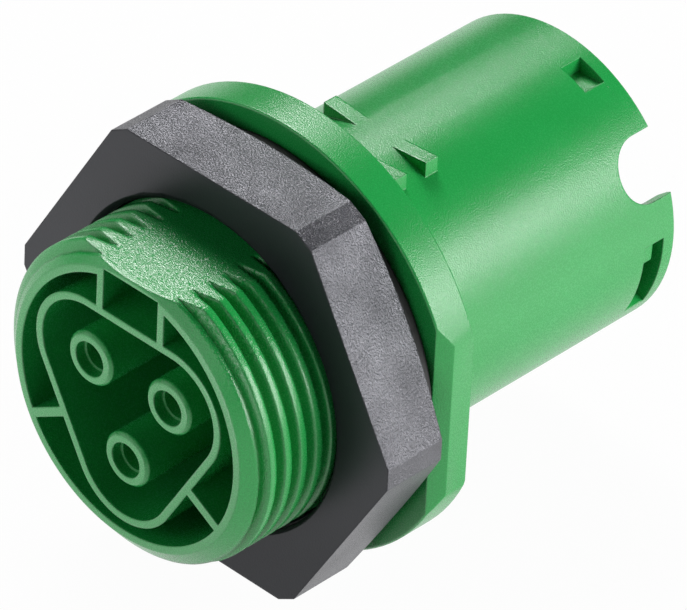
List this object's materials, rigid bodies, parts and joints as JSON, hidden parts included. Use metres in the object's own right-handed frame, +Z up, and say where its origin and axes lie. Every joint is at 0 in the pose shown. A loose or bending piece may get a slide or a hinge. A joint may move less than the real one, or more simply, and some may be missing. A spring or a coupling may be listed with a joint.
{
  "type": "circular connector",
  "caption": "Panel-mount circular power connector: keyed threaded neck with sleeved sockets, hexagonal lock nut, sealing flange and a notched barrel around contact pins.",
  "frame": {"origin": "on the connector's axis, in the front face of the flange where the panel is clamped", "axes": "+Y along the axis from the threaded neck to the mating barrel, +Z up through the keying flat, +X to the right seen from the neck's front face"},
  "size_m": [0.036, 0.0434, 0.0348],
  "materials": {
    "green_polyamide": "satin, spark-eroded grain",
    "black_polyamide": "satin, glass-filled",
    "black_rubber": "matte",
    "contact_brass": "turned"
  },
  "bodies": {
    "connector": {"housing": "green_polyamide", "flange_gasket": "black_rubber", "contact_left": "contact_brass", "contact_right": "contact_brass", "contact_lower": "contact_brass"},
    "nut": {"lock_nut": "black_polyamide"}
  },
  "joints": [
    {"name": "nut_travel", "type": "slide", "parent": "connector", "child": "nut", "axis": [0, -1, 0], "range_m": [0, 0.016]}
  ]
}
